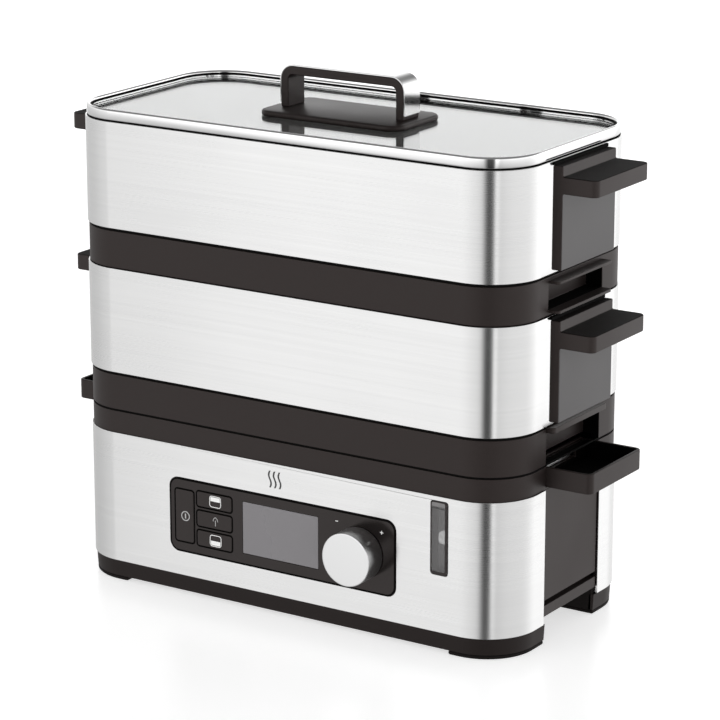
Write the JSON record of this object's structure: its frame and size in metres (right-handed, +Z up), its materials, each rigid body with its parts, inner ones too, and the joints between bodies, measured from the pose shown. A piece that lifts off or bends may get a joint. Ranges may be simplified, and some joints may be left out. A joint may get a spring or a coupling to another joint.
{
  "type": "electric food steamer",
  "caption": "Countertop electric food steamer: a long rounded steel base with controls and water tank, two stacked steel tiers on black drip trays, and a glass lid.",
  "frame": {"origin": "middle of the whole footprint's bounding box, on the surface the feet stand on", "axes": "+X along the length towards the right-hand ledges, +Y to the rear (the controls face -Y), +Z up"},
  "size_m": [0.3552, 0.1656, 0.3097],
  "materials": {
    "brushed_steel": "fine horizontal brushing, bright satin",
    "satin_steel": "plain satin",
    "chrome": "polished",
    "black_plastic": "fine matt texture, warm black",
    "gloss_panel": "glossy black",
    "key_black": "semi-gloss black",
    "screen": "unlit grey display behind a smooth cover",
    "lid_glass": "clear toughened glass",
    "smoked_window": "smoked clear plastic",
    "clear_plastic": "clear moulded plastic",
    "float_white": "white moulded",
    "silicone": "matt black silicone",
    "circuit_board": "green solder mask"
  },
  "bodies": {
    "base": {"base_pan": "black_plastic", "foot_front_left": "black_plastic", "foot_front_right": "black_plastic", "foot_rear_left": "black_plastic", "foot_rear_right": "black_plastic", "base_housing": "black_plastic", "base_end_panel_left": "black_plastic", "base_end_panel_right": "black_plastic", "water_inlet_left": "black_plastic", "water_inlet_right": "black_plastic", "steam_guide": "black_plastic", "cord_gland": "black_plastic", "thermostat": "black_plastic", "display_module": "black_plastic", "base_front_shell": "brushed_steel", "base_rear_shell": "brushed_steel", "water_tank": "satin_steel", "heating_plate": "satin_steel", "heater_coil": "satin_steel", "base_screw_1": "satin_steel", "base_screw_2": "satin_steel", "base_screw_3": "satin_steel", "base_screw_4": "satin_steel", "knob_encoder": "satin_steel", "control_panel": "gloss_panel", "display_window": "screen", "gauge_window": "smoked_window", "gauge_tube": "clear_plastic", "power_board": "circuit_board", "control_board": "circuit_board"},
    "selector_knob": {"knob": "chrome", "knob_shaft": "satin_steel"},
    "power_key": {"power_button": "key_black"},
    "upper_tier_key": {"upper_tier_button": "key_black"},
    "steam_key": {"steam_button": "key_black"},
    "lower_tier_key": {"lower_tier_button": "key_black"},
    "level_float": {"gauge_float": "float_white"},
    "lower_tray": {"lower_tray": "black_plastic"},
    "lower_tier": {"lower_tier_body": "brushed_steel", "lower_tier_handle_left": "black_plastic", "lower_tier_handle_right": "black_plastic"},
    "lower_grate": {"lower_tier_grate": "satin_steel"},
    "upper_tray": {"upper_tray": "black_plastic"},
    "upper_tier": {"upper_tier_body": "brushed_steel", "upper_tier_handle_left": "black_plastic", "upper_tier_handle_right": "black_plastic"},
    "upper_grate": {"upper_tier_grate": "satin_steel"},
    "lid": {"lid_rim": "chrome", "lid_seal": "silicone", "lid_glass": "lid_glass", "lid_handle_plate": "black_plastic", "lid_handle_arch": "black_plastic", "lid_handle_trim": "chrome", "lid_screw_1": "satin_steel", "lid_screw_2": "satin_steel"}
  },
  "joints": [
    {"name": "knob_turn", "type": "hinge", "parent": "base", "child": "selector_knob", "pos_m": [0.0544, -0.0681, 0.0498], "axis": [0, -1, 0], "continuous": true},
    {"name": "power_press", "type": "slide", "parent": "base", "child": "power_key", "axis": [0, 1, 0], "range_m": [0, 0.0008], "stiffness_N_per_m": 500},
    {"name": "upper_tier_press", "type": "slide", "parent": "base", "child": "upper_tier_key", "axis": [0, 1, 0], "range_m": [0, 0.0008], "stiffness_N_per_m": 500},
    {"name": "steam_press", "type": "slide", "parent": "base", "child": "steam_key", "axis": [0, 1, 0], "range_m": [0, 0.0008], "stiffness_N_per_m": 500},
    {"name": "lower_tier_press", "type": "slide", "parent": "base", "child": "lower_tier_key", "axis": [0, 1, 0], "range_m": [0, 0.0008], "stiffness_N_per_m": 500},
    {"name": "float_rise", "type": "slide", "parent": "base", "child": "level_float", "axis": [0, 0, 1], "range_m": [-0.014, 0.022]},
    {"name": "lower_tray_lift", "type": "slide", "parent": "base", "child": "lower_tray", "axis": [0, 0, 1], "range_m": [0, 0.05]},
    {"name": "lower_tier_lift", "type": "slide", "parent": "lower_tray", "child": "lower_tier", "axis": [0, 0, 1], "range_m": [0, 0.05]},
    {"name": "lower_grate_lift", "type": "slide", "parent": "lower_tier", "child": "lower_grate", "axis": [0, 0, 1], "range_m": [0, 0.04]},
    {"name": "upper_tray_lift", "type": "slide", "parent": "lower_tier", "child": "upper_tray", "axis": [0, 0, 1], "range_m": [0, 0.05]},
    {"name": "upper_tier_lift", "type": "slide", "parent": "upper_tray", "child": "upper_tier", "axis": [0, 0, 1], "range_m": [0, 0.05]},
    {"name": "upper_grate_lift", "type": "slide", "parent": "upper_tier", "child": "upper_grate", "axis": [0, 0, 1], "range_m": [0, 0.04]},
    {"name": "lid_lift", "type": "slide", "parent": "upper_tier", "child": "lid", "axis": [0, 0, 1], "range_m": [0, 0.07]}
  ]
}
